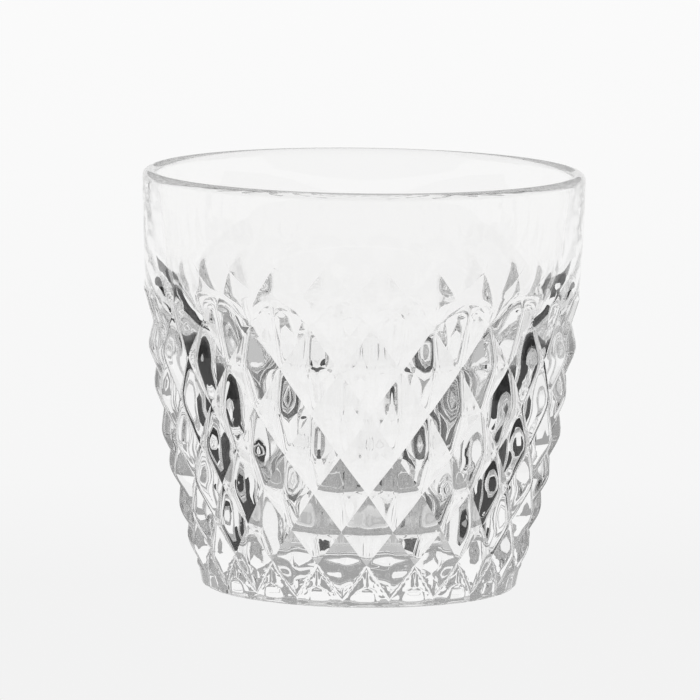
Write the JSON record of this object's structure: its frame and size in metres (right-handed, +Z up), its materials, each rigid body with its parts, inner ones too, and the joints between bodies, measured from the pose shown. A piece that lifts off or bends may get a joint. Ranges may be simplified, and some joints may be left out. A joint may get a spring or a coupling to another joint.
{
  "type": "whiskey tumbler",
  "caption": "Pressed-glass whiskey tumbler: plain rounded rim over a diamond-cut tapering body, thick base and narrow foot.",
  "frame": {"origin": "middle of the foot's resting plane, on the glass's axis", "axes": "+Z up along the glass's axis, towards the rim; -Y towards the front, through a groove crossing of the top row"},
  "size_m": [0.09, 0.09, 0.0848],
  "materials": {
    "clear_glass": "clear, fire-polished, gloss"
  },
  "bodies": {
    "root": {"tumbler": "clear_glass"}
  },
  "joints": []
}
